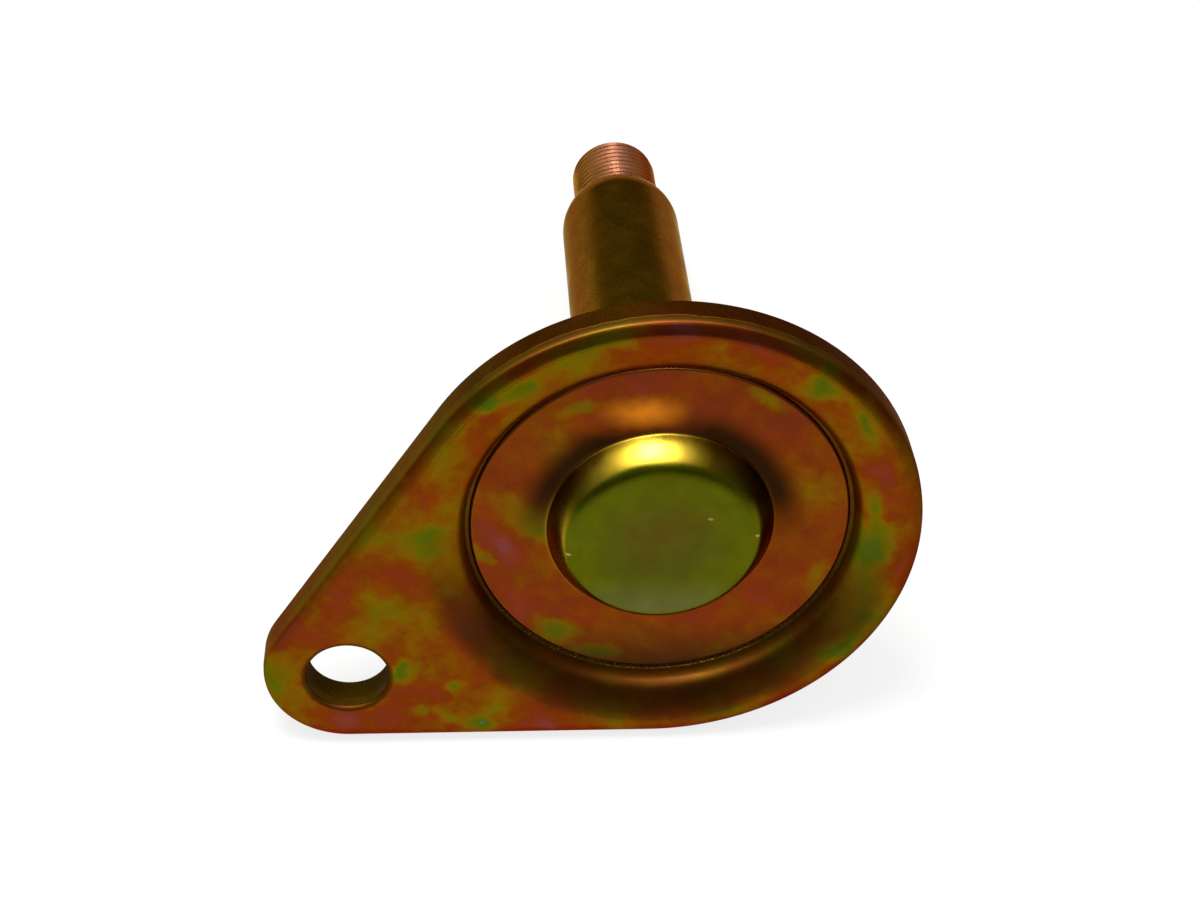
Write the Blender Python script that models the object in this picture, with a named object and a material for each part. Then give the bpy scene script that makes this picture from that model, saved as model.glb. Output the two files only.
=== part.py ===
# Spring bushing bolt of a leaf-spring eye: a flanged pin whose head sits in the pressed dish
# of a teardrop retaining plate. Sizes are in metres.
# Local axes: +Z runs along the pin towards its thread, the outer face of the plate lies in the
# XY plane, and the hole for the retaining bolt is on -X.

import math

import bmesh
import bpy
from mathutils import Matrix

# Clearance kept between the pin and the plate
FIT_GAP = 0.0003

# Pin: head
FLANGE_RADIUS = 0.0293
FLANGE_THICKNESS = 0.003
FLANGE_SINK = 0.0045
FLANGE_EDGE_ROUND = 0.0007
FLANGE_BACK_ROUND = 0.0003
BOSS_TOP_RADIUS = 0.0146
BOSS_FLARE = 0.0029
BOSS_RISE = 0.0046
BOSS_EDGE_ROUND = 0.0009
BOSS_ROOT_ROUND = 0.0004
NECK_ROUND = 0.0008

# Pin: shaft, shoulder and threaded end
THREAD_RADIUS = 0.008
THREAD_LENGTH = 0.0175
THREAD_DEPTH = 0.00092
RELIEF_LENGTH = 0.002
TIP_CHAMFER = 0.0011
SHOULDER_STEP = 0.00195
SHOULDER_ROUND = 0.0003
NOSE_DROP = 0.00095
NOSE_LENGTH = 0.0045
GRIP_LENGTH = 0.0843

# Plate: blank
PLATE_THICKNESS = 0.006
RIM_WIDTH = 0.0038
LUG_DISTANCE = 0.0554
LUG_WALL = 0.0068
BOLT_HOLE_RADIUS = 0.0065
DIE_ROLL_WIDTH = 0.002
DIE_ROLL_DEPTH = 0.0009
HOLE_ROLL_WIDTH = 0.0008
HOLE_ROLL_DEPTH = 0.0006
EDGE_BREAK = 0.0003

# Plate: pressed dish, seat of the flange and pad on the back
DISH_WALL_RUN = 0.0059
DISH_MOUTH_BLEND = 0.0024
DISH_FOOT_ROUND = 0.0014
LEDGE_WIDTH = 0.00065
LEDGE_DROP = 0.0005
FLOOR_THICKNESS = 0.0052
PAD_WALL = 0.0036
PAD_WALL_RUN = 0.0022
PAD_EDGE_ROUND = 0.0016
PAD_FOOT_ROUND = 0.0016
PAD_FOOT_RUN = 0.003
PAD_FOOT_DIP = 0.0004

# Resolution of the round forms
TURN_STEPS = 72
BIG_END_STEPS = 48
LUG_STEPS = 20
HOLE_STEPS = 36
CURVE_STEPS = 4
ARC_STEP = math.radians(24)
FEWEST_ARC_STEPS = 2
MERGE_DISTANCE = 0.000003
SMOOTH_BELOW = math.radians(30)

# Sizes that follow from the ones above
flange_back = FLANGE_SINK + FLANGE_THICKNESS
seat_radius = FLANGE_RADIUS + FIT_GAP
seat_depth = flange_back + FIT_GAP
ledge_radius = seat_radius + LEDGE_WIDTH
ledge_depth = FLANGE_SINK + LEDGE_DROP
mouth_radius = ledge_radius + DISH_WALL_RUN
dish_slope = math.atan2(ledge_depth, DISH_WALL_RUN - DISH_MOUTH_BLEND)
mouth_round = DISH_MOUTH_BLEND / math.tan(dish_slope / 2)
plate_radius = mouth_radius + RIM_WIDTH
lug_radius = BOLT_HOLE_RADIUS + LUG_WALL
pad_face = seat_depth + FLOOR_THICKNESS
pad_radius = seat_radius + PAD_WALL
boss_face = FLANGE_SINK - BOSS_RISE
nose_radius = THREAD_RADIUS + SHOULDER_STEP
shaft_radius = nose_radius + NOSE_DROP
shoulder = pad_face + GRIP_LENGTH
pin_end = shoulder + THREAD_LENGTH
cut_past = 2 * PLATE_THICKNESS


def clear_scene():
    for item in list(bpy.data.objects):
        bpy.data.objects.remove(item, do_unlink=True)


def rounded(corners):
    # Turns (radius, height, rounding) corners into a profile with an arc at each rounded corner.
    profile = []
    for i, (x, y, rounding) in enumerate(corners):
        if rounding == 0 or i in (0, len(corners) - 1):
            profile.append((x, y))
            continue
        to_last = (corners[i - 1][0] - x, corners[i - 1][1] - y)
        to_next = (corners[i + 1][0] - x, corners[i + 1][1] - y)
        reach_last, reach_next = math.hypot(*to_last), math.hypot(*to_next)
        u = (to_last[0] / reach_last, to_last[1] / reach_last)
        v = (to_next[0] / reach_next, to_next[1] / reach_next)
        opening = math.acos(u[0] * v[0] + u[1] * v[1])
        room_last = reach_last / (2 if corners[i - 1][2] else 1)
        room_next = reach_next / (2 if corners[i + 1][2] else 1)
        setback = min(rounding / math.tan(opening / 2), room_last, room_next)
        radius = setback * math.tan(opening / 2)
        middle = (u[0] + v[0], u[1] + v[1])
        size = math.hypot(*middle)
        away = radius / math.sin(opening / 2)
        centre = (x + middle[0] / size * away, y + middle[1] / size * away)
        start = math.atan2(y + u[1] * setback - centre[1], x + u[0] * setback - centre[0])
        end = math.atan2(y + v[1] * setback - centre[1], x + v[0] * setback - centre[0])
        turn = (end - start + math.pi) % (2 * math.pi) - math.pi
        steps = max(FEWEST_ARC_STEPS, math.ceil(abs(turn) / ARC_STEP))
        for k in range(steps + 1):
            angle = start + turn * k / steps
            profile.append((centre[0] + radius * math.cos(angle), centre[1] + radius * math.sin(angle)))
    return profile


def new_object(name, bm):
    bmesh.ops.recalc_face_normals(bm, faces=bm.faces)
    mesh = bpy.data.meshes.new(name)
    bm.to_mesh(mesh)
    bm.free()
    item = bpy.data.objects.new(name, mesh)
    bpy.context.collection.objects.link(item)
    return item


def turned(name, profile, steps):
    # Spins an open profile that starts and ends on the Z axis into a closed solid.
    bm = bmesh.new()
    points = [bm.verts.new((radius, 0.0, height)) for radius, height in profile]
    edges = [bm.edges.new(pair) for pair in zip(points, points[1:])]
    bmesh.ops.spin(
        bm, geom=points + edges, cent=(0, 0, 0), axis=(0, 0, 1), dvec=(0, 0, 0),
        angle=2 * math.pi, steps=steps, use_merge=True,
    )
    bmesh.ops.remove_doubles(bm, verts=bm.verts, dist=MERGE_DISTANCE)
    return new_object(name, bm)


def teardrop(inset):
    # Outline of the blank, moved in by the inset: the big end round the pin, the lug round the hole.
    big, small = plate_radius - inset, lug_radius - inset
    lean = math.acos((small - big) / LUG_DISTANCE)
    outline = []
    for k in range(BIG_END_STEPS + 1):
        angle = -lean + 2 * lean * k / BIG_END_STEPS
        outline.append((big * math.cos(angle), big * math.sin(angle)))
    for k in range(LUG_STEPS + 1):
        angle = lean + 2 * (math.pi - lean) * k / LUG_STEPS
        outline.append((small * math.cos(angle) - LUG_DISTANCE, small * math.sin(angle)))
    return outline


def blank():
    # Stamped blank: rolled-over edge on the outer face, straight sheared edge, small break behind.
    levels = []
    for k in range(CURVE_STEPS + 1):
        angle = math.pi / 2 * k / CURVE_STEPS
        levels.append((DIE_ROLL_WIDTH * (1 - math.sin(angle)), DIE_ROLL_DEPTH * (1 - math.cos(angle))))
    levels.append((0.0, PLATE_THICKNESS - EDGE_BREAK))
    levels.append((EDGE_BREAK, PLATE_THICKNESS))
    bm = bmesh.new()
    rings = [[bm.verts.new((x, y, height)) for x, y in teardrop(inset)] for inset, height in levels]
    count = len(rings[0])
    for lower, upper in zip(rings, rings[1:]):
        for i in range(count):
            j = (i + 1) % count
            bm.faces.new((lower[i], lower[j], upper[j], upper[i]))
    bm.faces.new(rings[0])
    bm.faces.new(rings[-1])
    return new_object("retaining_plate", bm)


def back_pad():
    # The metal that the dish pushes out of the back, standing as a flat-topped round pad.
    return turned("back_pad", rounded([
        (0.0, pad_face, 0),
        (pad_radius, pad_face, PAD_EDGE_ROUND),
        (pad_radius + PAD_WALL_RUN, PLATE_THICKNESS + PAD_FOOT_DIP / 2, PAD_FOOT_ROUND),
        (pad_radius + PAD_WALL_RUN + PAD_FOOT_RUN, PLATE_THICKNESS - PAD_FOOT_DIP, 0),
        (pad_radius + PAD_WALL_RUN, PLATE_THICKNESS / 2, 0),
        (0.0, PLATE_THICKNESS / 2, 0),
    ]), TURN_STEPS)


def dish_cutter():
    # Dish in the outer face, the seat that holds the flange and the hole that the shaft goes through.
    shaft_hole = shaft_radius + FIT_GAP
    return turned("dish_cutter", rounded([
        (0.0, -cut_past, 0),
        (mouth_radius, -cut_past, 0),
        (mouth_radius, 0.0, 0),
        (mouth_radius - DISH_MOUTH_BLEND, 0.0, mouth_round),
        (ledge_radius, ledge_depth, DISH_FOOT_ROUND),
        (seat_radius, ledge_depth, 0),
        (seat_radius, seat_depth, 0),
        (shaft_hole + NECK_ROUND, seat_depth, 0),
        (shaft_hole, seat_depth + NECK_ROUND, 0),
        (shaft_hole, pad_face + cut_past, 0),
        (0.0, pad_face + cut_past, 0),
    ]), TURN_STEPS)


def bolt_hole_cutter():
    # Pierced hole with the same rolled-over edge as the outline, only smaller.
    profile = [(0.0, -cut_past), (BOLT_HOLE_RADIUS + HOLE_ROLL_WIDTH, -cut_past)]
    for k in range(CURVE_STEPS + 1):
        angle = math.pi / 2 * k / CURVE_STEPS
        profile.append((
            BOLT_HOLE_RADIUS + HOLE_ROLL_WIDTH * (1 - math.sin(angle)),
            HOLE_ROLL_DEPTH * (1 - math.cos(angle)),
        ))
    profile.append((BOLT_HOLE_RADIUS, PLATE_THICKNESS + cut_past))
    profile.append((0.0, PLATE_THICKNESS + cut_past))
    cutter = turned("bolt_hole_cutter", profile, HOLE_STEPS)
    cutter.location.x = -LUG_DISTANCE
    return cutter


def combine(target, tool, operation):
    step = target.modifiers.new(tool.name, "BOOLEAN")
    step.operation = operation
    step.solver = "EXACT"
    step.object = tool
    tool.hide_render = True
    tool.display_type = "WIRE"


def nose_curve():
    # The shaft's end draws in along a convex curve before the shoulder.
    curve = []
    for k in range(CURVE_STEPS + 1):
        along = k / CURVE_STEPS
        radius = shaft_radius - NOSE_DROP * along**2
        curve.append((radius, shoulder - NOSE_LENGTH * (1 - along), 0))
    return curve


def pin():
    # Turned and headed pin: raised boss, flange, shaft, rounded nose, shoulder and threaded end.
    relief_radius = THREAD_RADIUS - THREAD_DEPTH
    head = [
        (0.0, boss_face, 0),
        (BOSS_TOP_RADIUS, boss_face, BOSS_EDGE_ROUND),
        (BOSS_TOP_RADIUS + BOSS_FLARE, FLANGE_SINK, BOSS_ROOT_ROUND),
        (FLANGE_RADIUS, FLANGE_SINK, FLANGE_EDGE_ROUND),
        (FLANGE_RADIUS, flange_back, FLANGE_BACK_ROUND),
        (shaft_radius, flange_back, NECK_ROUND),
    ]
    threaded_end = [
        (nose_radius - SHOULDER_ROUND, shoulder + SHOULDER_ROUND, 0),
        (relief_radius, shoulder + SHOULDER_ROUND, 0),
        (relief_radius, shoulder + RELIEF_LENGTH, 0),
        (THREAD_RADIUS, shoulder + RELIEF_LENGTH + THREAD_DEPTH, 0),
        (THREAD_RADIUS, pin_end - TIP_CHAMFER, 0),
        (THREAD_RADIUS - TIP_CHAMFER, pin_end, 0),
        (0.0, pin_end, 0),
    ]
    return turned("flanged_pin", rounded(head + nose_curve() + threaded_end), TURN_STEPS)


def plated_steel(name, colour, roughness):
    material = bpy.data.materials.new(name)
    material.use_nodes = True
    shader = material.node_tree.nodes["Principled BSDF"]
    shader.inputs["Base Color"].default_value = (*colour, 1.0)
    shader.inputs["Metallic"].default_value = 1.0
    shader.inputs["Roughness"].default_value = roughness
    return material


def finish(item, material):
    item.data.materials.append(material)
    item.data.shade_smooth()
    item.data.set_sharp_from_angle(angle=SMOOTH_BELOW)


def lay_down(parent, pieces):
    # At rest the part lies on the straight lower edge of the plate's back and on the thread's end.
    edge_turn = math.asin((plate_radius - lug_radius) / LUG_DISTANCE)
    lean = math.atan((plate_radius - THREAD_RADIUS) / (pin_end - TIP_CHAMFER - PLATE_THICKNESS))
    turn = Matrix.Rotation(-math.pi / 2 - lean, 4, "X") @ Matrix.Rotation(-edge_turn, 4, "Z")
    parent.matrix_world = turn
    bpy.context.view_layer.update()
    graph = bpy.context.evaluated_depsgraph_get()
    points = []
    for piece in pieces:
        solid = piece.evaluated_get(graph)
        points += [solid.matrix_world @ vertex.co for vertex in solid.data.vertices]
    low = [min(point[axis] for point in points) for axis in range(3)]
    high = [max(point[axis] for point in points) for axis in range(3)]
    to_origin = (-(low[0] + high[0]) / 2, -(low[1] + high[1]) / 2, -low[2])
    parent.matrix_world = Matrix.Translation(to_origin) @ turn


def build():
    clear_scene()
    plate = blank()
    pad = back_pad()
    dish = dish_cutter()
    hole = bolt_hole_cutter()
    combine(plate, pad, "UNION")
    combine(plate, dish, "DIFFERENCE")
    combine(plate, hole, "DIFFERENCE")
    shank = pin()
    finish(plate, plated_steel("plate_yellow_zinc", (0.36, 0.19, 0.03), 0.3))
    finish(shank, plated_steel("pin_yellow_zinc", (0.42, 0.27, 0.05), 0.25))
    bolt = bpy.data.objects.new("spring_bushing_bolt", None)
    bpy.context.collection.objects.link(bolt)
    for item in (plate, pad, dish, hole, shank):
        item.parent = bolt
    lay_down(bolt, (plate, shank))


build()
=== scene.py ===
import math

import bpy
from mathutils import Matrix, Vector


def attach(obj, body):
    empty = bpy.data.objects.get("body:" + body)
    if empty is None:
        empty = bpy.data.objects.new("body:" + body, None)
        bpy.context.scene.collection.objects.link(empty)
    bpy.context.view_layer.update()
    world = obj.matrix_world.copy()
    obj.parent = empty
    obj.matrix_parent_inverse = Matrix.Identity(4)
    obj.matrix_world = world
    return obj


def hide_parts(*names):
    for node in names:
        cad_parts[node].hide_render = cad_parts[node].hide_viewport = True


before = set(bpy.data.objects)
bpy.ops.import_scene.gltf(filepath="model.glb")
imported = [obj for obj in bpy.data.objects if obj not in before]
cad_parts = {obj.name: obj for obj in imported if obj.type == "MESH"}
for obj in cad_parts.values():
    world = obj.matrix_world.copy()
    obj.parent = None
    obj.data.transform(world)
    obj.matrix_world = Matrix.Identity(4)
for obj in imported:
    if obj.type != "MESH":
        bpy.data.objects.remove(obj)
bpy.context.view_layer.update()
print("frame loaded:", sorted(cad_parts))

mm = 0.001
joinDistance = 0.002 * mm       # vertices nearer than this are one
cornerSegments = 8              # facets of a rounded corner
levelReach = 0.01 * mm          # how far off a height still counts as on it
levelNormal = 0.9               # a face that lies level has a normal at least this upright
largeFaceWeight = 80            # how much the large faces rule the shading of their neighbours

# How the part lies: on the straight lower edge of the plate's back and on the thread's end.
# Pieces are modelled about the pin's axis (+Z to the thread, bolt hole on -X) and then laid down.
lying = {
    "location": (0.01095857, -0.05053796, 0.04000484),
    "lean": 16.522867,        # degrees that the pin slopes down towards its thread
    "edgeTurn": 28.753,       # degrees that bring the plate's lower edge level
}
laidTurn = (Matrix.Rotation(math.radians(-90 - lying["lean"]), 3, "X")
            @ Matrix.Rotation(math.radians(-lying["edgeTurn"]), 3, "Z")).to_euler()


def deselectAll():
    bpy.ops.object.select_all(action="DESELECT")


def activate(piece):
    deselectAll()
    piece.select_set(True)
    bpy.context.view_layer.objects.active = piece


def linear(hexColour):
    # sRGB hex to the linear colour that the shader wants
    values = [int(hexColour[i:i + 2], 16) / 255 for i in (1, 3, 5)]
    return [v / 12.92 if v <= 0.04045 else ((v + 0.055) / 1.055) ** 2.4 for v in values] + [1.0]


def addNode(owner, kind, inputs=(), **settings):
    # adds a node, gives it its settings, and links or sets its inputs, by name or in their order
    tree = owner.node_tree
    node = tree.nodes.new(kind)
    for name, value in settings.items():
        setattr(node, name, value)
    for name, value in inputs.items() if isinstance(inputs, dict) else enumerate(inputs):
        if isinstance(value, bpy.types.Node):
            value = next(socket for socket in value.outputs if socket.enabled)
        if isinstance(value, bpy.types.NodeSocket):
            tree.links.new(value, node.inputs[name])
        elif value is not None:
            node.inputs[name].default_value = value
    return node


def pickVerts(piece, test):
    # in edit mode, selects the vertices whose place passes the test
    bpy.ops.mesh.select_mode(type="VERT")
    bpy.ops.mesh.select_all(action="DESELECT")
    bpy.ops.object.mode_set(mode="OBJECT")
    for vertex in piece.data.vertices:
        vertex.select = test(vertex.co)
    bpy.ops.object.mode_set(mode="EDIT")
    bpy.ops.mesh.select_mode(type="VERT")


def pickFaces(piece, test):
    # in edit mode, selects the faces whose centre and normal pass the test
    bpy.ops.mesh.select_mode(type="FACE")
    bpy.ops.mesh.select_all(action="DESELECT")
    bpy.ops.object.mode_set(mode="OBJECT")
    for face in piece.data.polygons:
        face.select = test(face.center, face.normal)
    bpy.ops.object.mode_set(mode="EDIT")


def startVertex(name, place):
    # a plane merged to its middle leaves the one vertex that a profile is drawn from
    deselectAll()
    bpy.ops.mesh.primitive_plane_add(size=mm, location=(0, 0, 0))
    piece = bpy.context.object
    piece.name = piece.data.name = name
    bpy.ops.object.mode_set(mode="EDIT")
    bpy.ops.mesh.select_mode(type="VERT")
    bpy.ops.mesh.select_all(action="SELECT")
    bpy.ops.mesh.merge(type="CENTER")
    bpy.ops.transform.translate(value=place)
    return piece


def drawSection(name, points):
    # draws a section in the XZ plane and rounds its corners; each point is radius, height, setback
    piece = startVertex(name, (points[0][0], 0, points[0][1]))
    for last, point in zip(points, points[1:]):
        step = (point[0] - last[0], 0, point[1] - last[1])
        bpy.ops.mesh.extrude_region_move(TRANSFORM_OT_translate={"value": step})
    for radius, height, setback in points:
        if setback:
            corner = Vector((radius, 0, height))
            pickVerts(piece, lambda place: (place - corner).length < joinDistance)
            bpy.ops.mesh.bevel(affect="VERTICES", offset=setback, segments=cornerSegments)
    return piece


def spinSection(piece, steps):
    bpy.ops.mesh.select_mode(type="VERT")
    bpy.ops.mesh.select_all(action="SELECT")
    bpy.ops.mesh.spin(steps=steps, angle=2 * math.pi, center=(0, 0, 0), axis=(0, 0, 1))
    bpy.ops.mesh.select_all(action="SELECT")
    bpy.ops.mesh.remove_doubles(threshold=joinDistance)
    bpy.ops.mesh.normals_make_consistent(inside=False)


def cut(piece, cutter):
    activate(piece)
    step = piece.modifiers.new("cut", "BOOLEAN")
    step.operation = "DIFFERENCE"
    step.solver = "EXACT"
    step.object = cutter
    bpy.ops.object.modifier_apply(modifier=step.name)
    bpy.data.objects.remove(cutter, do_unlink=True)


def layDown(piece):
    # places the finished piece as the CAD has it and leaves its object at the origin
    activate(piece)
    piece.rotation_euler = laidTurn
    piece.location = lying["location"]
    bpy.ops.object.transform_apply(location=True, rotation=True, scale=True)


def smooth(piece, angle):
    activate(piece)
    bpy.ops.object.shade_smooth_by_angle(angle=math.radians(angle))
    step = piece.modifiers.new("weighted", "WEIGHTED_NORMAL")
    step.keep_sharp = True
    step.weight = largeFaceWeight
    bpy.ops.object.modifier_apply(modifier=step.name)


# The camera, at the angle of the photograph.
view = {
    "location": (-0.01956, -0.2202, 0.29005),
    "turn": (36.957, -2.934, -2.747),       # degrees about X, Y and Z
    "lens": 60.0,
    "sensor": 36.0,
    "near": 0.01,
}
cameraData = bpy.data.cameras.new("camera")
cameraData.lens = view["lens"]
cameraData.sensor_width = view["sensor"]
cameraData.clip_start = view["near"]
camera = bpy.data.objects.new("camera", cameraData)
camera.location = view["location"]
camera.rotation_euler = [math.radians(a) for a in view["turn"]]
bpy.context.scene.collection.objects.link(camera)
bpy.context.scene.camera = camera
print("camera placed")


# The retaining plate: its outline, its blanked edge and its bolt hole.
plate = {
    "thickness": 6.0 * mm,
    "bigRadius": 39.92 * mm,
    "lugRadius": 13.27 * mm,
    "lugDistance": 55.4 * mm,
    # rolled-over edge of the outer face, from the smooth sheared band inwards: inset, depth, in mm
    "roll": [(0, 2.1), (0.04, 1.6), (0.09, 1.2), (0.17, 0.9), (0.28, 0.70), (0.45, 0.55), (0.7, 0.43),
             (1.0, 0.31), (1.35, 0.19), (1.7, 0.09), (2.0, 0.03), (2.25, 0), (2.5, 0)],
    "backBreak": 0.3 * mm,
    "support": 0.1 * mm,         # flat ring kept beside the broken edge of the back
    "evenRing": 0.03 * mm,       # flat ring that keeps the shading of the outer face even
    # what picks the flat outer face without its rolled edges
    "faceReach": 0.001 * mm,
    "faceNormal": 0.9999,
    "sharpAngle": 40,
    "bigSteps": 150,
    "straightSteps": 15,
    "lugSteps": 60,
    "holeRadius": 6.5 * mm,
    "holeRollWidth": 0.8 * mm,
    "holeRollDepth": 0.6 * mm,
    "holeRollSteps": 8,
    "holeSteps": 96,
}
roundSteps = plate["bigSteps"] + 2 * plate["straightSteps"] + plate["lugSteps"]


def drawOutline(name, height):
    # big end and lug as two spun arcs joined by straight runs
    lean = math.acos((plate["lugRadius"] - plate["bigRadius"]) / plate["lugDistance"])
    big, lug, away = plate["bigRadius"], plate["lugRadius"], plate["lugDistance"]
    corner = Vector((math.cos(lean), math.sin(lean), 0))
    mirrored = Vector((corner.x, -corner.y, 0))
    lugCentre = Vector((-away, 0, height))
    piece = startVertex(name, mirrored * big + Vector((0, 0, height)))
    bpy.ops.mesh.spin(steps=plate["bigSteps"], angle=-2 * lean, center=(0, 0, height), axis=(0, 0, 1))
    run = lugCentre + corner * lug - corner * big - Vector((0, 0, height))
    for _ in range(plate["straightSteps"]):
        bpy.ops.mesh.extrude_region_move(TRANSFORM_OT_translate={"value": run / plate["straightSteps"]})
    bpy.ops.mesh.spin(steps=plate["lugSteps"], angle=-2 * (math.pi - lean), center=lugCentre, axis=(0, 0, 1))
    run = mirrored * big + Vector((0, 0, height)) - lugCentre - mirrored * lug
    for _ in range(plate["straightSteps"]):
        bpy.ops.mesh.extrude_region_move(TRANSFORM_OT_translate={"value": run / plate["straightSteps"]})
    bpy.ops.mesh.select_all(action="SELECT")
    bpy.ops.mesh.remove_doubles(threshold=joinDistance)
    bpy.ops.mesh.edge_face_add()
    return piece


def insetRings(piece, height, rings):
    # insets the face at one height ring by ring; each ring is inward, outward
    pickFaces(piece, lambda centre, normal: abs(normal.z) > levelNormal
              and abs(centre.z - height) < levelReach)
    for inward, outward in rings:
        bpy.ops.mesh.inset(thickness=inward, depth=outward, use_even_offset=True)


def bridgeRings(piece, height):
    # joins the two open rims that lie at one height
    bpy.ops.mesh.select_mode(type="EDGE")
    bpy.ops.mesh.select_all(action="DESELECT")
    bpy.ops.mesh.select_non_manifold(extend=False, use_wire=False, use_boundary=True,
                                     use_multi_face=False, use_non_contiguous=False, use_verts=False)
    bpy.ops.object.mode_set(mode="OBJECT")
    verts = piece.data.vertices
    for edge in piece.data.edges:
        edge.select = edge.select and all(abs(verts[i].co.z - height) < levelReach for i in edge.vertices)
    for vertex in verts:
        vertex.select = False
    for edge in piece.data.edges:
        if edge.select:
            for i in edge.vertices:
                verts[i].select = True
    bpy.ops.object.mode_set(mode="EDIT")
    bpy.ops.mesh.select_mode(type="EDGE")
    bpy.ops.mesh.bridge_edge_loops()


dish = {
    # from the plate's face over the soft mouth to the ledge round the head: radius, depth, in mm
    "mouth": [(37.35, 0), (37.25, 0), (37.0, 0.05), (36.7, 0.11), (36.2, 0.22), (35.4, 0.41), (34.4, 0.68),
              (33.4, 0.98), (32.4, 1.35), (31.7, 1.69), (31.2, 2.02), (30.8, 2.39), (30.5, 2.8), (30.3, 3.25),
              (30.16, 3.7), (30.06, 4.2), (30.0, 4.75)],
    "ledge": 29.95 * mm,
    "ledgeDepth": 4.95 * mm,
    "seat": 29.35 * mm,
    "seatDepth": 7.8 * mm,
    "shaftHole": 11.2 * mm,
    "neck": 0.8 * mm,
    "padFace": 13.0 * mm,
    "padRadius": 33.2 * mm,
    "padWallRun": 2.2 * mm,
    "padFoot": 38.2 * mm,
    # how far each corner is rounded
    "ledgeRound": 0.1 * mm,
    "shaftHoleRound": 0.3 * mm,
    "padRound": 1.1 * mm,
    "padFootRound": 1.0 * mm,
}


def modelPlate():
    thick = plate["thickness"]
    roll = [(inset * mm, depth * mm) for inset, depth in plate["roll"]]
    sheared = roll[0][1]
    body = drawOutline("retainingPlate", sheared)
    rise = (0, 0, thick - plate["backBreak"] - sheared)
    bpy.ops.mesh.extrude_region_move(TRANSFORM_OT_translate={"value": rise})
    bpy.ops.mesh.select_all(action="SELECT")
    bpy.ops.mesh.normals_make_consistent(inside=False)
    insetRings(body, sheared, [(b[0] - a[0], a[1] - b[1]) for a, b in zip(roll, roll[1:])])
    bpy.ops.mesh.delete(type="FACE")
    insetRings(body, thick - plate["backBreak"],
               [(plate["backBreak"], plate["backBreak"]), (plate["support"], 0)])
    bpy.ops.mesh.delete(type="FACE")
    bpy.ops.object.mode_set(mode="OBJECT")

    d = dish
    section = drawSection("dishSection", [(radius * mm, deep * mm, 0) for radius, deep in d["mouth"]] + [
        (d["ledge"], d["ledgeDepth"], d["ledgeRound"]),
        (d["seat"], d["ledgeDepth"], d["ledgeRound"]),
        (d["seat"], d["seatDepth"], 0),
        (d["shaftHole"] + d["neck"], d["seatDepth"], 0),
        (d["shaftHole"], d["seatDepth"] + d["neck"], 0),
        (d["shaftHole"], d["padFace"], d["shaftHoleRound"]),
        (d["padRadius"], d["padFace"], d["padRound"]),
        (d["padRadius"] + d["padWallRun"], thick, d["padFootRound"]),
        (d["padFoot"], thick, 0),
    ])
    spinSection(section, roundSteps)
    bpy.ops.object.mode_set(mode="OBJECT")
    deselectAll()
    section.select_set(True)
    body.select_set(True)
    bpy.context.view_layer.objects.active = body
    bpy.ops.object.join()
    bpy.ops.object.mode_set(mode="EDIT")
    bridgeRings(body, 0)
    bridgeRings(body, thick)
    bpy.ops.mesh.select_all(action="SELECT")
    bpy.ops.mesh.normals_make_consistent(inside=False)
    bpy.ops.object.mode_set(mode="OBJECT")

    past = 2 * thick
    rim = plate["holeRadius"] + plate["holeRollWidth"]
    corners = [(0, -past, 0), (rim, -past, 0)]
    for k in range(plate["holeRollSteps"] + 1):
        turn = math.pi / 2 * k / plate["holeRollSteps"]
        corners.append((rim - plate["holeRollWidth"] * math.sin(turn),
                        plate["holeRollDepth"] * (1 - math.cos(turn)), 0))
    corners += [(plate["holeRadius"], past, 0), (0, past, 0)]
    punch = drawSection("punch", corners)
    spinSection(punch, plate["holeSteps"])
    bpy.ops.object.mode_set(mode="OBJECT")
    punch.location.x = -plate["lugDistance"]
    cut(body, punch)
    bpy.ops.object.mode_set(mode="EDIT")
    pickFaces(body, lambda centre, normal: normal.z < -plate["faceNormal"]
              and abs(centre.z) < plate["faceReach"])
    bpy.ops.mesh.inset(thickness=plate["evenRing"], depth=0, use_boundary=True, use_even_offset=False)
    bpy.ops.object.mode_set(mode="OBJECT")
    smooth(body, plate["sharpAngle"])
    return body


# The flanged pin, turned in one piece from its boss to its thread.
pin = {
    # boss from its face over the crowned rim and down its rounded flare: radius, height, in mm
    "boss": [(10.2, -0.1), (11.5, -0.085), (12.6, -0.045), (13.4, 0.03), (14.0, 0.15), (14.45, 0.32),
             (14.82, 0.57), (15.2, 0.92), (15.6, 1.39), (16.0, 1.93), (16.4, 2.52), (16.8, 3.16),
             (17.15, 3.78)],
    "bossFoot": 17.5 * mm,
    "flangeFace": 4.5 * mm,
    "flange": 29.3 * mm,
    "flangeBack": 7.5 * mm,
    "shaft": 10.9 * mm,
    "noseStart": 92.8 * mm,
    "noseDrop": 0.95 * mm,
    "noseSteps": 10,
    "shoulder": 97.3 * mm,
    "relief": 7.08 * mm,
    "reliefEnd": 99.3 * mm,
    "thread": 8.0 * mm,
    "end": 114.79 * mm,
    "chamfer": 1.1 * mm,
    # how far each corner is rounded
    "footRound": 0.35 * mm,
    "flangeRound": 0.55 * mm,
    "flangeBackRound": 0.3 * mm,
    "shaftRound": 0.7 * mm,
    "shoulderBreak": 0.3 * mm,
    "reliefRound": 0.15 * mm,
    "steps": 240,
    "sharpAngle": 35,
}
thread = {
    "pitch": 1.5 * mm,            # a fine 16 mm thread
    "root": 7.08 * mm,
    "mouth": 8.3 * mm,            # the groove opens just outside the pin
    "flankAngle": 30,
    "rootHalf": 0.06 * mm,        # half the flat at the bottom of the groove
    "before": 0.4 * mm,           # how far before the shoulder the groove starts, inside the shaft
    "steps": 72,
    "turns": 13,
}


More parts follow.
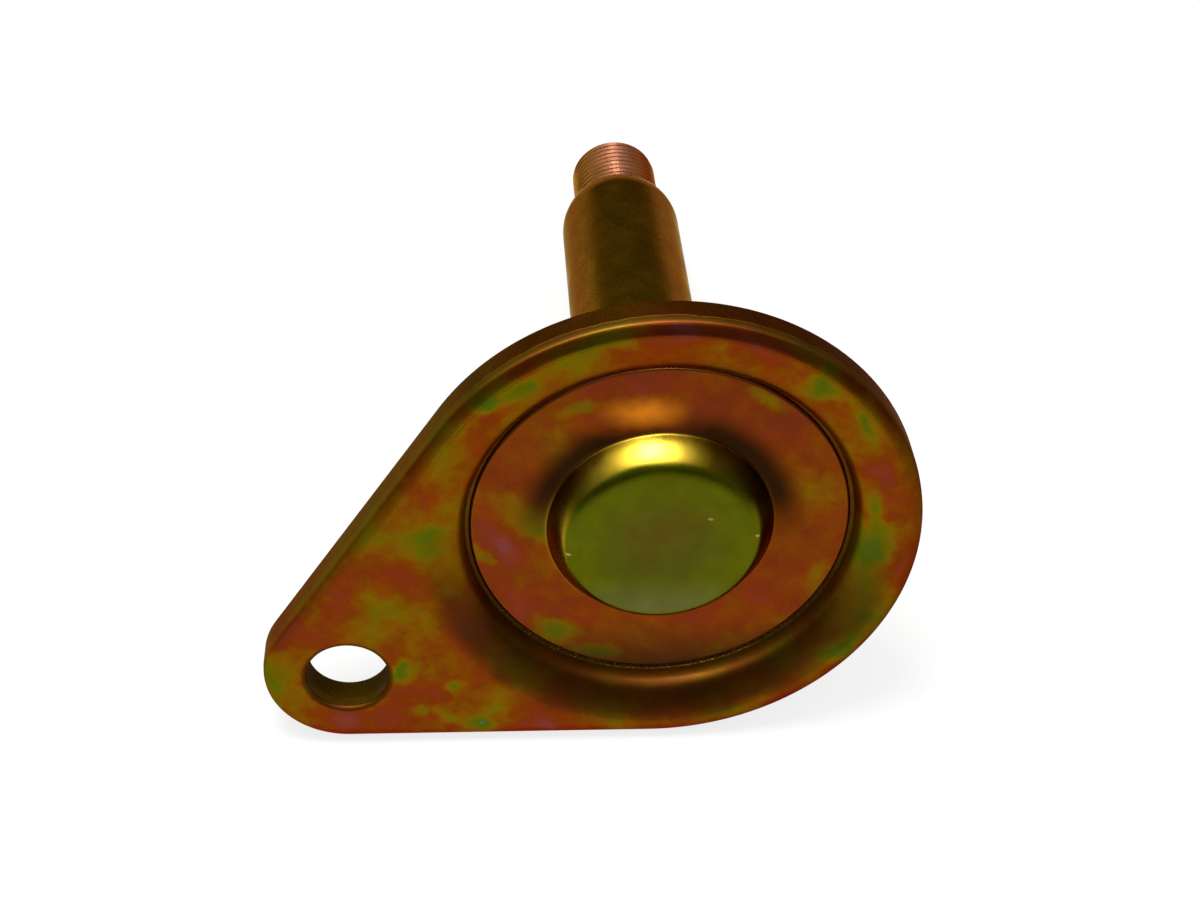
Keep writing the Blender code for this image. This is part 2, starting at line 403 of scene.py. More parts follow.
def modelPin():
    p = pin
    corners = [(0, p["boss"][0][1] * mm, 0)] + [(radius * mm, height * mm, 0) for radius, height in p["boss"]]
    corners += [
        (p["bossFoot"], p["flangeFace"], p["footRound"]),
        (p["flange"], p["flangeFace"], p["flangeRound"]),
        (p["flange"], p["flangeBack"], p["flangeBackRound"]),
        (p["shaft"], p["flangeBack"], p["shaftRound"]),
    ]
    for k in range(p["noseSteps"] + 1):
        along = k / p["noseSteps"]
        corners.append((p["shaft"] - p["noseDrop"] * along ** 2,
                        p["noseStart"] + (p["shoulder"] - p["noseStart"]) * along, 0))
    corners += [
        (p["shaft"] - p["noseDrop"] - p["shoulderBreak"], p["shoulder"] + p["shoulderBreak"], 0),
        (p["relief"], p["shoulder"] + p["shoulderBreak"], p["reliefRound"]),
        (p["relief"], p["reliefEnd"], 0),
        (p["thread"], p["reliefEnd"] + p["thread"] - p["relief"], 0),
        (p["thread"], p["end"] - p["chamfer"], 0),
        (p["thread"] - p["chamfer"], p["end"], 0),
        (0, p["end"], 0),
    ]
    body = drawSection("flangedPin", corners)
    spinSection(body, p["steps"])
    bpy.ops.object.mode_set(mode="OBJECT")

    # the thread is cut as on a lathe, by a groove with straight flanks that winds along the end
    t = thread
    deep = t["mouth"] - t["root"]
    half = deep * math.tan(math.radians(t["flankAngle"]))
    groove = startVertex("threadGroove", (t["mouth"], 0, p["shoulder"] - t["before"] - half))
    flank = half - t["rootHalf"]
    for step in ((-deep, 0, flank), (0, 0, 2 * t["rootHalf"]), (deep, 0, flank)):
        bpy.ops.mesh.extrude_region_move(TRANSFORM_OT_translate={"value": step})
    bpy.ops.mesh.select_all(action="SELECT")
    bpy.ops.mesh.edge_face_add()
    bpy.ops.mesh.delete(type="ONLY_FACE")
    bpy.ops.object.mode_set(mode="OBJECT")
    wind = groove.modifiers.new("wind", "SCREW")
    wind.axis = "Z"
    wind.angle = 2 * math.pi
    wind.screw_offset = t["pitch"]
    wind.iterations = t["turns"]
    wind.steps = wind.render_steps = t["steps"]
    wind.use_merge_vertices = False
    activate(groove)
    bpy.ops.object.modifier_apply(modifier=wind.name)
    bpy.ops.object.mode_set(mode="EDIT")
    bpy.ops.mesh.select_mode(type="VERT")
    bpy.ops.mesh.select_all(action="SELECT")
    bpy.ops.mesh.remove_doubles(threshold=joinDistance / 2)
    bpy.ops.mesh.select_all(action="SELECT")
    bpy.ops.mesh.fill_holes(sides=0)
    bpy.ops.mesh.select_all(action="SELECT")
    bpy.ops.mesh.normals_make_consistent(inside=False)
    bpy.ops.object.mode_set(mode="OBJECT")
    cut(body, groove)
    smooth(body, p["sharpAngle"])
    return body


plateBody = modelPlate()
print("plate modelled:", len(plateBody.data.polygons), "faces")
pinBody = modelPin()
print("pin modelled:", len(pinBody.data.polygons), "faces")
for piece in (plateBody, pinBody):
    layDown(piece)


# Mild steel, zinc plated and dipped in yellow chromate. The film is so thin that its
# colour runs from green through yellow and brown to rose as it thickens, and it pools
# in clouds where the bath drained off.
chromate = {
    "stops": [
        (0.00, "#4a6c48"),
        (0.08, "#4a5a0c"),
        (0.20, "#5c5e02"),
        (0.33, "#745c02"),
        (0.47, "#7c4e02"),
        (0.60, "#7c3c04"),
        (0.74, "#7c300c"),
        (0.88, "#7e321c"),
        (1.00, "#803a34"),
    ],
    "edgeTint": "#c8a03c",        # bare zinc shines through at a glancing angle
    # a dull soil colour; on the pin's disc it is also painted shade towards the bottom
    "soilAndShade": "#33210a",
    "coatRoughness": 0.12,
    "wide": (9, 5),               # the two sizes of a patch's ragged edge, and how far each reaches, in mm
    "fine": (2.5, 1.6),
    "least": 0.1,                 # the clouds alone never thin the film to blue-green
    "dullSize": 4 * mm,
    "patchReach": 14 * mm,        # how far in front of and behind the face a patch reaches
}
# across and up the face as it lies, in the pin's own axes
across = (0.88, 0.48, 0)
upFace = (0.48, -0.88, 0)


def localPlace(material):
    # Object coordinates turned back to the pin's own axes
    place = addNode(material, "ShaderNodeTexCoord")
    return addNode(material, "ShaderNodeMapping", {
        "Vector": place.outputs["Object"],
        "Location": lying["location"],
        "Rotation": laidTurn,
    }, vector_type="TEXTURE")


def measure(material, place):
    # what the zones are measured by: along the pin, out from its axis, up and across the face
    axes = addNode(material, "ShaderNodeSeparateXYZ", [place])
    flat = addNode(material, "ShaderNodeVectorMath", [place, (1, 1, 0)], operation="MULTIPLY")
    return {
        "alongPlate": axes.outputs["X"],
        "depth": axes.outputs["Z"],
        "flat": flat,
        "radius": addNode(material, "ShaderNodeVectorMath", [flat], operation="LENGTH").outputs["Value"],
        "towardsTop": addNode(material, "ShaderNodeVectorMath", [place, upFace],
                              operation="DOT_PRODUCT").outputs["Value"],
    }


def addZones(material, measures, table):
    # each zone: its measure, where it starts and ends in mm, its value at both, and the curve between
    return {name: addNode(material, "ShaderNodeMapRange", [measures[by], start * mm, end * mm, low, high],
                          interpolation_type=curve)
            for name, (by, start, end, low, high, curve) in table.items()}


def overlap(material, zones, parts):
    # where all the named zones meet; a part may also be a plain share
    cover = zones[parts[0]]
    for part in parts[1:]:
        cover = addNode(material, "ShaderNodeMath", [cover, zones.get(part, part)],
                        operation="MULTIPLY", use_clamp=True)
    return cover


def addLayers(material, zones, colour, layers):
    # lays colours over the film, the first one lowest; each has the zones that bound it
    for parts, hexColour in layers:
        colour = addNode(material, "ShaderNodeMix", {
            "Factor": overlap(material, zones, parts), "A": colour, "B": linear(hexColour)}, data_type="RGBA")
    return colour


def wander(material, place, size, reach):
    # pushes places about, so that patches get the ragged edge of a drained film
    push = addNode(material, "ShaderNodeTexNoise", {"Vector": place, "Scale": 1 / (size * mm), "Detail": 4.0})
    push = addNode(material, "ShaderNodeVectorMath", [push.outputs["Color"], (0.5, 0.5, 0.5)],
                   operation="SUBTRACT")
    return addNode(material, "ShaderNodeVectorMath", [push, (reach * mm,) * 3, place],
                   operation="MULTIPLY_ADD")


def addPatches(material, place, total, patches):
    # each soft oval patch is x, y, half width, half height, turn, gain; in millimetres and degrees
    for x, y, wide, high, turn, gain in patches:
        oval = addNode(material, "ShaderNodeMapping", {
            "Vector": place, "Location": (x * mm, y * mm, 0), "Rotation": (0, 0, math.radians(turn)),
            "Scale": (wide * mm, high * mm, chromate["patchReach"])}, vector_type="TEXTURE")
        soft = addNode(material, "ShaderNodeTexGradient", [oval], gradient_type="SPHERICAL").outputs["Fac"]
        total = addNode(material, "ShaderNodeMath", [soft, gain, total], operation="MULTIPLY_ADD")
    return total


def addClouds(material, place, total, clouds):
    # each cloud layer is size in millimetres, strength, detail; the noise lies about one half
    for size, strength, detail in clouds:
        noise = addNode(material, "ShaderNodeTexNoise",
                        {"Vector": place, "Scale": 1 / (size * mm), "Detail": detail})
        noise = addNode(material, "ShaderNodeMath", [noise, 0.5], operation="SUBTRACT")
        total = addNode(material, "ShaderNodeMath", [noise, strength, total], operation="MULTIPLY_ADD")
    return total


def addFilm(material, ragged, finish):
    # the chromate film's thickness on the whole piece
    film = addPatches(material, ragged, finish["film"], finish["patches"])
    film = addClouds(material, ragged, film, finish["clouds"])
    return addNode(material, "ShaderNodeMath", [film, chromate["least"]], operation="MAXIMUM")


def filmColour(material, thickness):
    ramp = addNode(material, "ShaderNodeValToRGB", [thickness])
    stops = ramp.color_ramp.elements
    stops[0].color = linear(chromate["stops"][0][1])
    stops[1].color = linear(chromate["stops"][-1][1])
    for spot, hexColour in chromate["stops"][1:-1]:
        stops.new(spot).color = linear(hexColour)
    return ramp


def newMetal(name, finish):
    material = bpy.data.materials.new(name)
    material.use_nodes = True
    shader = material.node_tree.nodes["Principled BSDF"]
    for socket, value in (("Metallic", 1.0), ("Roughness", finish["roughness"]),
                          ("Specular Tint", linear(chromate["edgeTint"])),
                          ("Coat Weight", finish["coat"]), ("Coat Roughness", chromate["coatRoughness"])):
        shader.inputs[socket].default_value = value
    return material, shader


def feed(material, shader, colour, rough, level):
    # joins the finish to the shader; the level is a height in metres
    bump = addNode(material, "ShaderNodeBump", {"Height": level, "Distance": 1.0, "Strength": 1.0})
    for node, socket in ((colour, "Base Color"), (rough, "Roughness"), (bump, "Normal")):
        end = next(out for out in node.outputs if out.enabled)
        material.node_tree.links.new(end, shader.inputs[socket])


plateFinish = {
    "film": 0.56,                 # how thick the film is on the whole
    "clouds": [(13, 0.8, 1.5), (5, 0.5, 2.0), (2.0, 0.3, 2.0), (0.45, 0.16, 2.0)],
    "roughness": 0.30,
    "roughClouds": [(7, 0.3, 4.0)],
    "rougher": [("torn", 0.25), ("sheared", 0.28), ("nearHead", 0.22), ("lowDishShade", 0.06), ("inHole", 0.25)],
    "coat": 0.02,
    "spots": [(-42, 19.6, 3.4, 2.8, 0, -0.3)],      # where the film stayed blue-green
    "edgeFilm": (0.6, 0.27),      # how far the film evens out on the cut edge, and its thickness there
    "borderClouds": [(3.5, -0.9 * mm, 3.0)],        # how the border of the torn band waves
    "dishClouds": [(8, 7 * mm, 3.0)],               # how the border of the painted shade in the dish waves
    "zones": {
        "outside": ("radius", 37.2, 37.5, 0, 1, "LINEAR"),
        "behindFace": ("depth", 0.5, 0.9, 0, 1, "LINEAR"),
        "beforeBack": ("depth", 5.95, 5.8, 0, 1, "LINEAR"),
        "pastBorder": ("wavyDepth", 1.9, 2.1, 0, 1, "LINEAR"),
        "tornDark": ("alongPlate", -22, 4, 0.3, 0.8, "LINEAR"),
        "shearedDark": ("alongPlate", -22, 4, 0.2, 0.65, "LINEAR"),
        "bigEnd": ("alongPlate", -22, 4, 0, 1, "LINEAR"),
        "rim": ("radius", 37.4, 39.6, 0, 0.5, "SMOOTHSTEP"),
        "inDish": ("wavyRadius", 39.0, 34.4, 0, 1, "SMOOTHSTEP"),
        "lowSide": ("towardsTop", 4, -20, 0, 0.7, "SMOOTHSTEP"),
        "atFront": ("depth", 5.8, 5.3, 0, 1, "LINEAR"),
        "insideWall": ("radius", 30.02, 29.96, 0, 1, "LINEAR"),
        "pastHead": ("radius", 29.2, 29.3, 0, 1, "LINEAR"),
        "lowest": ("towardsTop", -12, -24, 0, 1, "LINEAR"),
        "nearHead": ("radius", 31.4, 30.2, 0, 1, "LINEAR"),
        "inHole": ("fromHole", 7.4, 7.0, 0, 1, "LINEAR"),
    },
    "layers": [
        (("torn", "tornDark"), "#221804"),
        (("sheared", "shearedDark"), "#4a3c1c"),
        (("rim", "bigEnd"), "#4c2204"),
        (("lowDishShade",), "#2a2006"),              # painted shade on the low side of the dish
        (("onLedge", 0.5), "#4a3410"),
        (("brightGrit", "lowest", "onLedge"), "#b08438"),
        (("inHole", 0.65), "#3a2e08"),       # dull, with painted shade inside the bolt hole
        (("dull",), chromate["soilAndShade"]),
    ],
    "gritSize": 0.35 * mm,
    "brightGrit": (0.52, 0.70, 0, 0.7),
    "gritHeight": 0.06 * mm,
    "tearSize": 0.5 * mm,
    "tearStretch": (1, 1, 0.35),             # tears run through the sheet
    "tearHeight": 0.16 * mm,
    "dull": (0.35, 0.75, 0, 0.16),
    "ripple": [(0.9, 0.006 * mm, 2.0)],
    "patches": [
        # small end, round the bolt hole
        (-66, -5, 5, 8, 20, -0.30), (-65, 3, 4, 6, 0, -0.16), (-61, 7, 6, 5, 0, 0.30),
        (-54, 12, 10, 5, 28, 0.28),
        (-52, -10, 9, 4, -20, 0.24), (-47.5, 3.5, 3.5, 3, 0, -0.45), (-46.6, 1.6, 2.4, 2, 0, -0.45),
        (-47, 8, 7, 4, 30, 0.22), (-41.5, 10.5, 2.6, 2, 0, -0.50), (-49, 12.5, 4, 1.6, 20, -0.35),
        (-45.5, 15.5, 1.8, 4, -20, -0.35), (-46, 18.5, 2.2, 1.8, 0, 0.4), (-41.8, 19.4, 5.5, 4.5, 0, -0.40),
        (-38, 16, 4, 4, 0, -0.30), (-35, 24, 8, 2.4, 28, 0.30),
        (-37, 10, 5, 8, 0, 0.22), (-30, 27.5, 8, 2, 28, 0.22), (-60, -12, 7, 3, -26, 0.2),
        # between the hole and the dish
        (-44, -9, 9, 7, -10, -0.34), (-52, -19, 9, 4, -27, -0.12), (-45, -17, 9, 3, -27, 0.14),
        (-30, -18, 9, 10, -20, -0.24), (-37, -12.5, 6, 6, 0, 0.34), (-35, -24, 8, 4, -27, -0.2),
        (-26, -25, 6, 5, -30, 0.16), (-31, -8, 4, 7, 0, -0.16), (-34, 0, 4, 8, 0, 0.22),
        (-19, -33, 8, 4, -25, -0.26), (-25, -31, 6, 3, -25, 0.15),
        # round the dish
        (-11.5, -36, 3, 2.4, 0, -0.55), (-13, -32.5, 6, 2.6, -20, 0.22), (-5, -35.5, 6, 3, 0, -0.34),
        (-4, -38, 4, 2, 0, 0.2),
        (8, -36.5, 10, 3, 6, -0.34), (4, -34.5, 12, 3, 0, -0.06), (20, -34, 9, 3.4, 38, 0.34),
        (28, -26, 9, 4, 55, 0.32),
        (24, -36, 12, 2.2, 42, -0.5), (33.5, -21, 8, 2.2, 62, -0.45), (33, -14.5, 4.5, 4, 0, -0.6),
        (36, -7, 4, 8, 0, -0.34), (35.4, -5, 1.4, 5, 0, -0.30), (34, 5, 5, 7, 0, 0.34),
        (31, 10, 1.6, 6, 20, -0.4),
        (26, 18, 5, 8, 35, -0.60), (21, 29, 9, 6, -45, -0.42), (15, 34, 5, 3.4, -20, -0.6),
        (33, 21, 8, 3, -60, 0.3),
        (30, 17, 3, 5, 30, -0.30), (6, 38, 12, 2, 0, 0.12), (-6, 37.5, 8, 2.4, 0, -0.16),
        (-20, 33, 9, 3, 28, -0.14),
    ],
}


def finishPlate():
    f = plateFinish
    material, shader = newMetal("zincPlateYellowChromateStampedSteel", f)
    place = localPlace(material)
    measures = measure(material, place)
    measures["wavyDepth"] = addClouds(material, place, measures["depth"], f["borderClouds"])
    measures["wavyRadius"] = addClouds(material, place, measures["radius"], f["dishClouds"])
    fromHole = addNode(material, "ShaderNodeVectorMath", [measures["flat"], (plate["lugDistance"], 0, 0)],
                       operation="ADD")
    measures["fromHole"] = addNode(material, "ShaderNodeVectorMath", [fromHole],
                                   operation="LENGTH").outputs["Value"]
    zones = addZones(material, measures, f["zones"])
    # the edge was blanked: rolled over at the face, then a smooth sheared band, then a torn one
    zones["onEdge"] = overlap(material, zones, ("outside", "behindFace", "beforeBack"))
    zones["torn"] = overlap(material, zones, ("onEdge", "pastBorder"))
    zones["sheared"] = addNode(material, "ShaderNodeMath", [zones["onEdge"], zones["torn"]],
                               operation="SUBTRACT")
    zones["lowDishShade"] = overlap(material, zones, ("inDish", "lowSide", "atFront"))
    # the narrow ledge round the head kept the grain of the press tool, most of all on its lower side
    zones["onLedge"] = overlap(material, zones, ("insideWall", "pastHead", "atFront"))
    grit = addNode(material, "ShaderNodeTexNoise",
                   {"Vector": place, "Scale": 1 / f["gritSize"], "Detail": 2.0})
    zones["brightGrit"] = addNode(material, "ShaderNodeMapRange", [grit, *f["brightGrit"]])
    ragged = wander(material, wander(material, place, *chromate["wide"]), *chromate["fine"])
    dull = addNode(material, "ShaderNodeTexNoise",
                   {"Vector": ragged, "Scale": 1 / chromate["dullSize"], "Detail": 4.0})
    zones["dull"] = addNode(material, "ShaderNodeMapRange", [dull, *f["dull"]])

    film = addPatches(material, ragged, addFilm(material, ragged, f), f["spots"])
    evenness, evenFilm = f["edgeFilm"]
    film = addNode(material, "ShaderNodeMix", {
        "Factor": overlap(material, zones, ("onEdge", evenness)), "A": film, "B": evenFilm})
    colour = addLayers(material, zones, filmColour(material, film), f["layers"])

    rough = addClouds(material, place, f["roughness"], f["roughClouds"])
    for zone, more in f["rougher"]:
        rough = addNode(material, "ShaderNodeMath", [zones[zone], more, rough], operation="MULTIPLY_ADD")

    level = addClouds(material, place, 0.0, f["ripple"])
    tear = addNode(material, "ShaderNodeMapping", {"Vector": place, "Scale": f["tearStretch"]})
    tear = addNode(material, "ShaderNodeTexNoise",
                   {"Vector": tear, "Scale": 1 / f["tearSize"], "Detail": 3.0})
    for zone, pattern, height in (("torn", tear, f["tearHeight"]), ("onLedge", grit, f["gritHeight"])):
        raised = addNode(material, "ShaderNodeMath", [zones[zone], pattern], operation="MULTIPLY")
        level = addNode(material, "ShaderNodeMath", [raised, height, level], operation="MULTIPLY_ADD")
    feed(material, shader, colour, rough, level)
    return material


pinFinish = {
    "film": 0.66,
    "clouds": [(12, 0.55, 1.5), (5, 0.36, 1.5), (2.0, 0.22, 2.0), (0.45, 0.16, 2.0)],
    "roughness": 0.28,
    "roughClouds": [(5, 0.3, 4.0)],
    "coat": 0.03,
    "patches": [
        # on the flange
        (-16.5, -10.5, 4.2, 9, -28, -0.42), (-26.7, -8, 1.5, 5, -20, -0.55), (-26, 2, 3, 9, 10, 0.14),
        (-23.6, 11, 5, 3.2, 50, -0.75), (-20.4, 18.3, 5, 2.6, 40, -0.75), (-10, -25, 8, 3, -20, 0.1),
        (-0.3, -25.3, 6, 1.8, 8, -0.5), (24.3, -13.7, 6, 1.8, 60, -0.5), (22.5, 3.5, 5, 9, -28, -0.4),
        (26, -5, 2.4, 6, 0, 0.16), (12, -24, 7, 3, 25, 0.2), (3, 24.5, 8, 3, 0, 0.14),
        (8, 21, 6, 3, -20, 0.18), (-3, 20, 6, 2.4, 10, 0.16), (17, 22, 4, 3, -40, -0.3),
        (-24, -14, 3, 6, 20, 0.14),
        (-23, -8, 3, 8, -14, 0.3),
    ],
    # thin brown film in the middle of the boss, greenish towards its rim
    "bossPatches": [(1, -2, 10, 8, 0, 0.10), (-9, 4, 5, 9, 0, -0.03)],
    "gentle": (2.5, 1.4),
    # a painted reflection: a bright orange glow on the disc over the boss, with a darker orange fringe round
    # it
    "glow": [(7.2, -20.3, 8.6, 3.8, 28.6, 1.25)],
    "glowPower": 1.6,
    "paintedGlowFringe": [(6.5, -19.2, 12, 4.6, 28.6, 1.0)],
    # painted highlight: paler yellow on the top and left of the flare, where its highlight falls
    "paintedFlareHighlight": [(7.0, -14.4, 8.5, 5.0, 28.6, 1.4), (-3, -16, 7, 6, 0, 0.6), (-15, -4, 7, 12, 0, 1.0)],
    # painted shade: dark on the right of the flare, beside its highlight
    "paintedFlareShade": [(17, 0, 5, 8, -10, 1.3), (14, 7, 3, 5, -20, 0.6)],
    "nicks": [(-13.6, -5.0, 0.6, 0.35, 20, 1.0), (8.4, -0.8, 0.6, 0.3, 40, 0.7),
              (13.2, 6.0, 0.6, 0.3, 60, 0.9)],
    # the boss took less film and is olive green, brownish in the middle
    "bossFilm": 0.17,
    "bossClouds": [(5, 0.12, 3.0), (0.5, 0.12, 2.0)],
    # the shaft is olive gold on one side and orange on the other
    "shaftFilm": 0.22,
    "shaftFilmAcross": 0.2 / (11 * mm),
    "shaftClouds": [(12, 0.35, 2.0), (1.2, 0.25, 3.0)],
    "zones": {
        "withinFoot": ("radius", 18.0, 17.3, 0, 1, "LINEAR"),
        "aboveDisc": ("depth", 4.7, 4.2, 0, 1, "LINEAR"),
        "flareFilm": ("radius", 14.6, 15.2, 0, 0.13, "LINEAR"),
        "onShaft": ("depth", 7.2, 8.0, 0, 1, "LINEAR"),
        "atFoot": ("radius", 23.5, 18.8, 0, 1, "SMOOTHSTEP"),
        "topSide": ("towardsTop", -5, 7, 0, 0.95, "SMOOTHSTEP"),
        "lowRim": ("towardsTop", -18, -29, 0, 0.8, "SMOOTHSTEP"),
        "discEdge": ("radius", 28.8, 29.1, 0, 0.35, "LINEAR"),
        "discFront": ("depth", 5.2, 4.9, 0, 1, "LINEAR"),
        "middle": ("radius", 12.5, 4, 0, 0.5, "SMOOTHSTEP"),
        "bossLow": ("towardsTop", -6, -15, 0, 0.45, "SMOOTHSTEP"),
        "onFlare": ("radius", 14.7, 15.1, 0, 0.7, "LINEAR"),
        "onThread": ("depth", 98.2, 98.8, 0, 1, "LINEAR"),
        "pinkSide": ("aside", -8, 0, 0, 1, "LINEAR"),
        "orangeSide": ("aside", 1, 6, 0, 1, "LINEAR"),
    },
    "layers": [
        (("atFoot", "topSide", "onDisc", "clear"), "#1c1002"),     # painted shade on the disc round the upper side of the boss foot, also on the top side of the shaft
        # painted reflection: the orange fringe and the bright glow on the disc over the boss
        (("paintedGlowFringe", "onDisc"), "#8c3c06"),
        (("paintedGlowOnDisc",), "#ee8c1c"),
        # painted shade towards the bottom of the disc
        (("lowRim", "onDisc"), chromate["soilAndShade"]),
        (("discEdge", "discFront"), "#b08c50"),                    # painted highlight along the disc's rounded edge
        (("middle", "onBoss"), "#463c1a"),
        # painted sheen along the lower rim of the boss face
        (("bossLow", "onBoss"), "#706e50"),
        # painted shade on the right of the flare
        (("paintedFlareShade", "onFlare", "onBoss"), "#1c1802"),
        (("paintedFlareHighlight", "onFlare", "onBoss"), "#d8b83c"),              # painted highlight on the flare
        (("nicks", "onBoss"), "#c0b070"),
    ],
    # the rolled thread came out coppery: golden, pink, then deep orange across; the pink in the middle is
    # partly a painted highlight
    "thread": ("#b07c28", "#cc8868", "#a85410"),
    # the shaft is paler, under a matt grain that only shows there
    "shaftLayers": [
        (("bareShaft", 0.42), "#b8901c"),
        (("grain", "bareShaft"), "#3c2a04"),
        (("dull",), chromate["soilAndShade"]),
    ],
    "grainSize": 0.4 * mm,
    "grain": (0.40, 0.66, 0, 0.4),
    "dull": (0.35, 0.75, 0, 0.25),
    "ripple": [(0.8, 0.006 * mm, 2.0)],
}


def finishPin():
    f = pinFinish
    material, shader = newMetal("zincPlateYellowChromateTurnedSteel", f)
    place = localPlace(material)
    measures = measure(material, place)
    measures["aside"] = addNode(material, "ShaderNodeVectorMath", [place, across],
                                operation="DOT_PRODUCT").outputs["Value"]
    zones = addZones(material, measures, f["zones"])
    zones["onBoss"] = overlap(material, zones, ("withinFoot", "aboveDisc"))
    zones["onDisc"] = addNode(material, "ShaderNodeMath", [1.0, zones["onBoss"]], operation="SUBTRACT")
    zones["bareShaft"] = addNode(material, "ShaderNodeMath", [zones["onShaft"], zones["onThread"]],
                                 operation="SUBTRACT", use_clamp=True)
    ragged = wander(material, wander(material, place, *chromate["wide"]), *chromate["fine"])
    gentle = wander(material, place, *f["gentle"])
    for name, where in (("glow", gentle), ("paintedGlowFringe", gentle), ("paintedFlareShade", ragged),
                        ("paintedFlareHighlight", place), ("nicks", place)):
        zones[name] = addPatches(material, where, 0.0, f[name])
    # the painted glow over the boss keeps the painted shade round the foot off
    zones["glow"] = addNode(material, "ShaderNodeMath", [zones["glow"], f["glowPower"]], operation="POWER")
    zones["paintedGlowOnDisc"] = overlap(material, zones, ("glow", "onDisc"))
    zones["clear"] = addNode(material, "ShaderNodeMath", [1.0, zones["paintedGlowOnDisc"]],
                             operation="SUBTRACT", use_clamp=True)
    grain = addNode(material, "ShaderNodeTexNoise",
                    {"Vector": place, "Scale": 1 / f["grainSize"], "Detail": 2.0})
    zones["grain"] = addNode(material, "ShaderNodeMapRange", [grain, *f["grain"]])
    dull = addNode(material, "ShaderNodeTexNoise",
                   {"Vector": ragged, "Scale": 1 / chromate["dullSize"], "Detail": 4.0})
    zones["dull"] = addNode(material, "ShaderNodeMapRange", [dull, *f["dull"]])

    bossFilm = addPatches(material, ragged, f["bossFilm"], f["bossPatches"])
    bossFilm = addNode(material, "ShaderNodeMath", [bossFilm, zones["flareFilm"]])
    bossFilm = addClouds(material, ragged, bossFilm, f["bossClouds"])
    shaftFilm = addNode(material, "ShaderNodeMath", [measures["aside"], f["shaftFilmAcross"], f["shaftFilm"]],
                        operation="MULTIPLY_ADD")
    shaftFilm = addClouds(material, ragged, shaftFilm, f["shaftClouds"])
    film = addNode(material, "ShaderNodeMix",
                   {"Factor": zones["onBoss"], "A": addFilm(material, ragged, f), "B": bossFilm})
    film = addNode(material, "ShaderNodeMix", {"Factor": zones["onShaft"], "A": film, "B": shaftFilm})
    colour = addLayers(material, zones, filmColour(material, film), f["layers"])

    golden, pink, orange = (linear(hexColour) for hexColour in f["thread"])
    copper = addNode(material, "ShaderNodeMix",
                     {"Factor": zones["pinkSide"], "A": golden, "B": pink}, data_type="RGBA")
    copper = addNode(material, "ShaderNodeMix",
                     {"Factor": zones["orangeSide"], "A": copper, "B": orange}, data_type="RGBA")
    colour = addNode(material, "ShaderNodeMix",
                     {"Factor": zones["onThread"], "A": colour, "B": copper}, data_type="RGBA")
    colour = addLayers(material, zones, colour, f["shaftLayers"])

    rough = addClouds(material, place, f["roughness"], f["roughClouds"])
    level = addClouds(material, place, 0.0, f["ripple"])
    feed(material, shader, colour, rough, level)
    return material


plateBody.data.materials.clear()
plateBody.data.materials.append(finishPlate())
pinBody.data.materials.clear()
pinBody.data.materials.append(finishPin())
print("finishes made")
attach(plateBody, "root")
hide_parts("retaining_plate")
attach(pinBody, "root")
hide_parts("flanged_pin")


# A white paper floor. Metal sees its lit part only, not far from the object.
paperFloor = {
    "size": 6.0,
    "colour": "#f4f4f2",
    "litTo": 0.22,                # metres from the middle
    "dimFrom": 0.50,
    "dim": 0.3,
    "flat": 0.75,                 # how much of what camera and metal see is even white
}
deselectAll()
bpy.ops.mesh.primitive_plane_add(size=paperFloor["size"], location=(0, 0, 0))
floor = bpy.context.object
floor.name = floor.data.name = "floor"
paper = bpy.data.materials.new("whitePaperSweep")
paper.use_nodes = True
paper.node_tree.nodes.clear()
matt = addNode(paper, "ShaderNodeBsdfDiffuse", {"Color": linear(paperFloor["colour"])})
rays = addNode(paper, "ShaderNodeLightPath").outputs
middle = addNode(paper, "ShaderNodeTexCoord")
away = addNode(paper, "ShaderNodeVectorMath", [middle.outputs["Object"]], operation="LENGTH").outputs["Value"]
lit = addNode(paper, "ShaderNodeMapRange",
              [away, paperFloor["litTo"], paperFloor["dimFrom"], 1.0, paperFloor["dim"]],
              interpolation_type="SMOOTHSTEP")
lit = addNode(paper, "ShaderNodeMath", [lit, rays["Is Camera Ray"]], operation="MAXIMUM")
glow = addNode(paper, "ShaderNodeEmission", {"Color": (1, 1, 1, 1), "Strength": lit})
seen = addNode(paper, "ShaderNodeMath", [rays["Is Camera Ray"], rays["Is Glossy Ray"]], operation="MAXIMUM")
seen = addNode(paper, "ShaderNodeMath", [seen, rays["Is Transmission Ray"]], operation="MAXIMUM")
share = addNode(paper, "ShaderNodeMath", [seen, paperFloor["flat"]], operation="MULTIPLY")
both = addNode(paper, "ShaderNodeMixShader", [share, matt, glow])
addNode(paper, "ShaderNodeOutputMaterial", {"Surface": both})
floor.data.materials.append(paper)

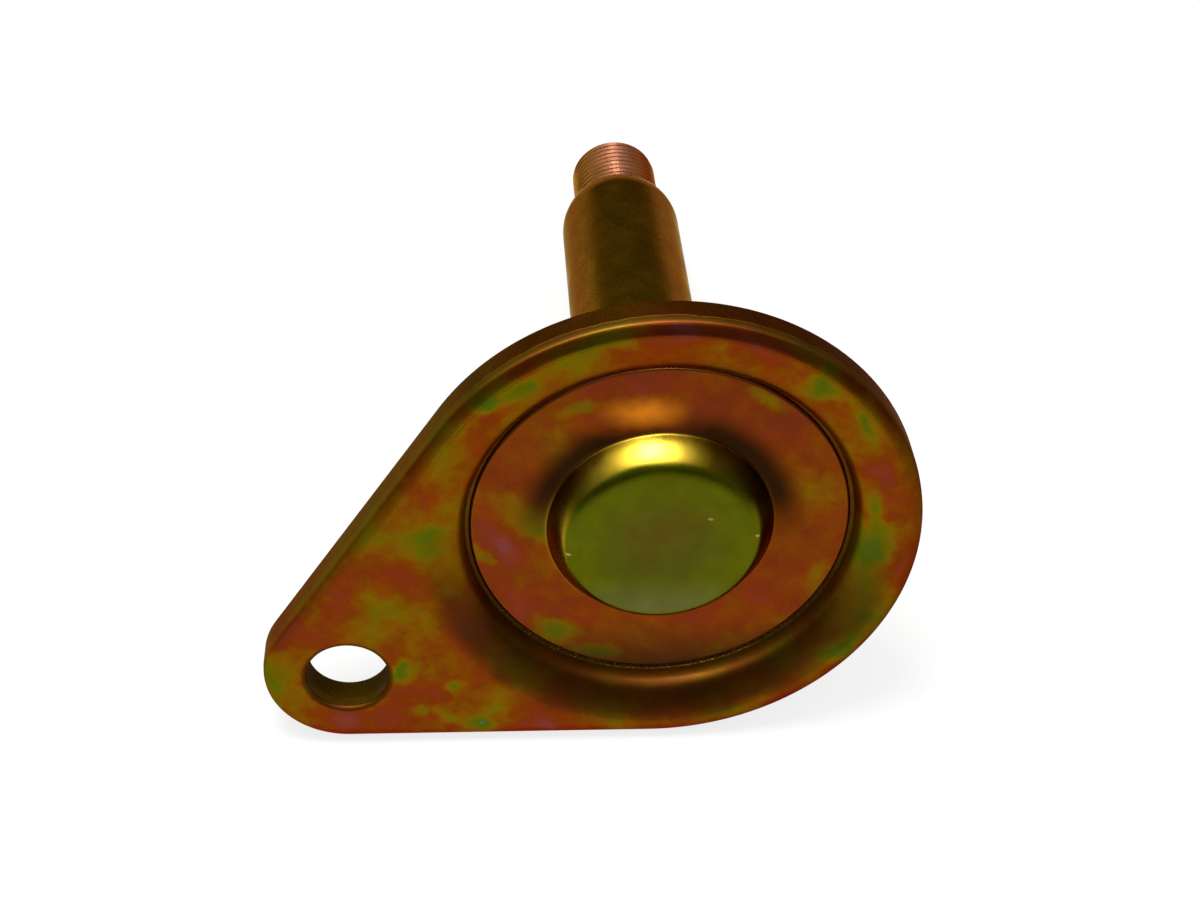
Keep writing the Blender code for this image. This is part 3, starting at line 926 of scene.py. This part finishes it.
# Metal sees a dim room with a lamp in its ceiling, and the camera a white background.
# Each range is where it starts and ends, and its brightness at both.
studio = {
    "front": (0.1, 0.42, 0.12, 0.27),         # by height
    "towardsBack": (-0.6, 0.1, 0, 1),
    "back": 0.16,
    "ceiling": (-0.18, 0.065, 0.98),
    "ceilingLamp": (0.78, 0.97, 0, 5.0),
    "roundLamp": (0.45, 0.85, 0, 0.45),
    "fill": 0.75,                             # what lights the paper and everything matt
}
world = bpy.data.worlds.new("studio")
world.use_nodes = True
bpy.context.scene.world = world
world.node_tree.nodes.clear()
rays = addNode(world, "ShaderNodeLightPath").outputs
direction = addNode(world, "ShaderNodeTexCoord").outputs["Generated"]
split = addNode(world, "ShaderNodeSeparateXYZ", [direction]).outputs
up = addNode(world, "ShaderNodeVectorMath", [direction, studio["ceiling"]],
             operation="DOT_PRODUCT").outputs["Value"]
front, back, nearLamp, around = [
    addNode(world, "ShaderNodeMapRange", [by, *studio[name]], interpolation_type="SMOOTHSTEP")
    for by, name in ((split["Z"], "front"), (split["Y"], "towardsBack"),
                     (up, "ceilingLamp"), (up, "roundLamp"))]
room = addNode(world, "ShaderNodeMix", {"Factor": back, "A": front, "B": studio["back"]})
room = addNode(world, "ShaderNodeMath", [room, nearLamp])
room = addNode(world, "ShaderNodeMath", [room, around])
lights = [addNode(world, "ShaderNodeBackground", {"Color": (1, 1, 1, 1), "Strength": strength})
          for strength in (studio["fill"], room, 1.0)]
glossy = addNode(world, "ShaderNodeMath", [rays["Is Glossy Ray"], rays["Is Transmission Ray"]],
                 operation="MAXIMUM")
first = addNode(world, "ShaderNodeMixShader", [glossy, lights[0], lights[1]])
second = addNode(world, "ShaderNodeMixShader", [rays["Is Camera Ray"], first, lights[2]])
addNode(world, "ShaderNodeOutputWorld", {"Surface": second})

lamps = {
    "overhead": {"place": (-0.103, -0.004, 0.662), "size": 0.22, "power": 3.0},
    "rightBack": {"place": (0.40, 0.08, 0.37), "size": 0.05, "power": 0.06},
    "besideCamera": {"place": (0.04, -0.38, 0.45), "size": 0.08, "power": 0.12},
}
lampsAimAt = Vector((0, -0.03, 0.03))
for name, lamp in lamps.items():
    data = bpy.data.lights.new(name, "AREA")
    data.shape = "DISK"
    data.size = lamp["size"]
    data.energy = lamp["power"]
    light = bpy.data.objects.new(name, data)
    light.location = lamp["place"]
    light.rotation_euler = (lampsAimAt - Vector(lamp["place"])).to_track_quat("-Z", "Y").to_euler()
    bpy.context.scene.collection.objects.link(light)

bpy.context.scene.view_settings.view_transform = "Standard"
print("stage lit")
